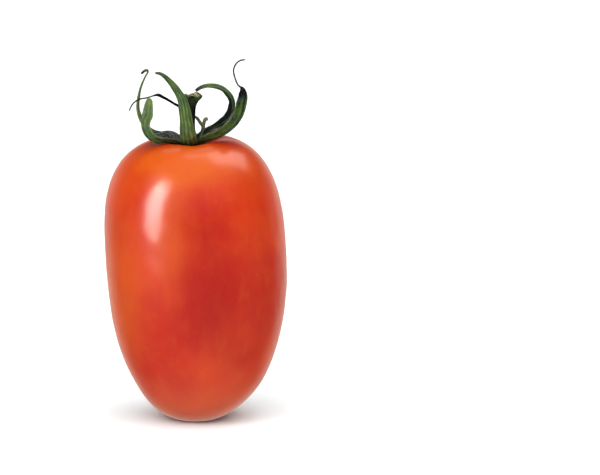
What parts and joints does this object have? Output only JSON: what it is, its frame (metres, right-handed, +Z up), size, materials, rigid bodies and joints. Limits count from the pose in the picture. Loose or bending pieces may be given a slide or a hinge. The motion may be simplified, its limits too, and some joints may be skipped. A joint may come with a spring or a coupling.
{
  "type": "tomato",
  "caption": "Upright plum tomato with a glossy orange-red skin, curling green calyx and a stub of stem, resting on a small flat spot.",
  "frame": {"origin": "centre of the small flat spot at the blossom end, on the surface that the fruit stands on", "axes": "+Z up along the fruit towards its stem, +X to the right and +Y away from the viewer as pictured"},
  "size_m": [0.0505, 0.0495, 0.1008],
  "materials": {
    "fruit_skin": "smooth waxy tomato skin, orange-red",
    "sepal_green": "matt leaf green with dried brown tips",
    "stem_green": "matt dark green with a pale broken end"
  },
  "bodies": {
    "root": {"fruit": "fruit_skin", "calyx": "sepal_green", "stem": "stem_green"}
  },
  "joints": []
}
